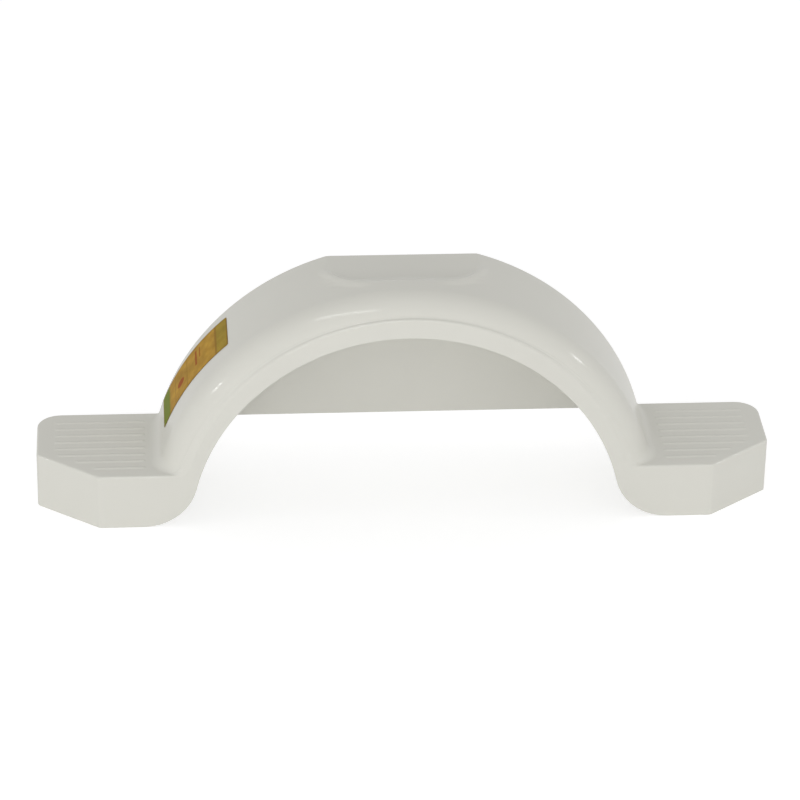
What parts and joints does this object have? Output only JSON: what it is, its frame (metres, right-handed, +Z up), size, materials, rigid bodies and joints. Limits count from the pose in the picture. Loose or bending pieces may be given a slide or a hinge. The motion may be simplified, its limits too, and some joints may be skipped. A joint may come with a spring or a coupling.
{
  "type": "trailer mudguard",
  "caption": "One-piece moulded plastic trailer mudguard: a half-round wheel arch with a flat back wall, a stepping pad on top and a ribbed step at each end.",
  "frame": {"origin": "bottom centre of the mudguard's box, level with the feet's lower edges", "axes": "+X along the trailer, +Y across it from the outer skirt to the back wall, +Z up"},
  "size_m": [1.0002, 0.176, 0.3339],
  "materials": {
    "moulding": "glossy warm white moulded plastic",
    "label": "printed adhesive film in plain amber, red-brown and green fields"
  },
  "bodies": {
    "root": {"mudguard": "moulding", "label": "label"}
  },
  "joints": []
}
